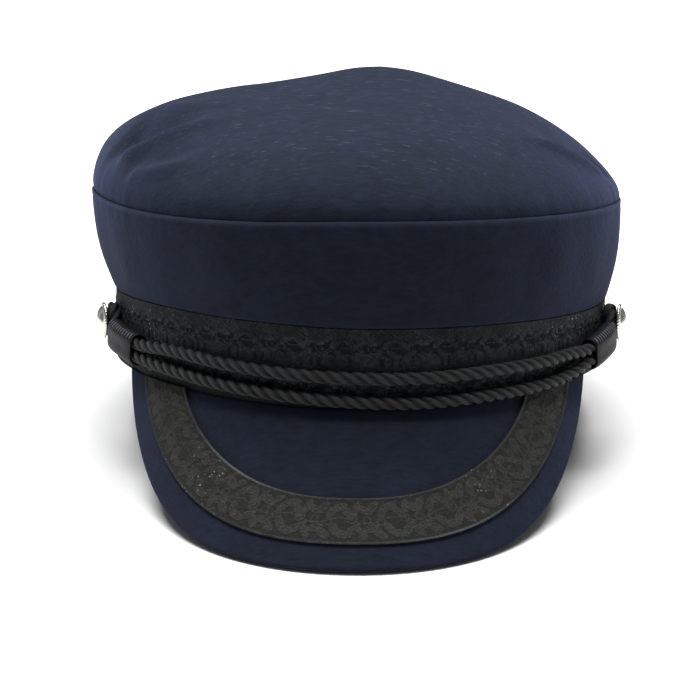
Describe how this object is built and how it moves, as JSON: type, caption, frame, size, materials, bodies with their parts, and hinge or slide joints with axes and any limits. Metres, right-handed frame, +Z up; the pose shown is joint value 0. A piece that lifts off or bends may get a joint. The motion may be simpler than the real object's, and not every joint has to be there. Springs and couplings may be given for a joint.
{
  "type": "fisherman's cap",
  "caption": "Soft wool cap with a puffed crown, a braided oval band, a sloping peak and a doubled twisted cord held by slides and side buttons.",
  "frame": {"origin": "middle of the cap's footprint on the surface that it stands on", "axes": "+Z up from the surface, -Y towards the front where the peak is, +X towards the wearer's left"},
  "size_m": [0.1856, 0.2696, 0.1209],
  "materials": {
    "wool": "felted navy wool cloth with a short matt nap",
    "braid": "black-brown ribbon woven with raised leaves and corded edges",
    "cord": "black three-strand rayon cord with a slight sheen",
    "leather": "smooth black leather",
    "nickel": "polished nickel"
  },
  "bodies": {
    "root": {"crown_top": "wool", "crown_side": "wool", "hat_band": "braid", "peak": "wool", "peak_braid": "braid", "chin_cord": "cord", "slide_left": "leather", "slide_right": "leather", "button_left": "nickel", "button_right": "nickel"}
  },
  "joints": []
}
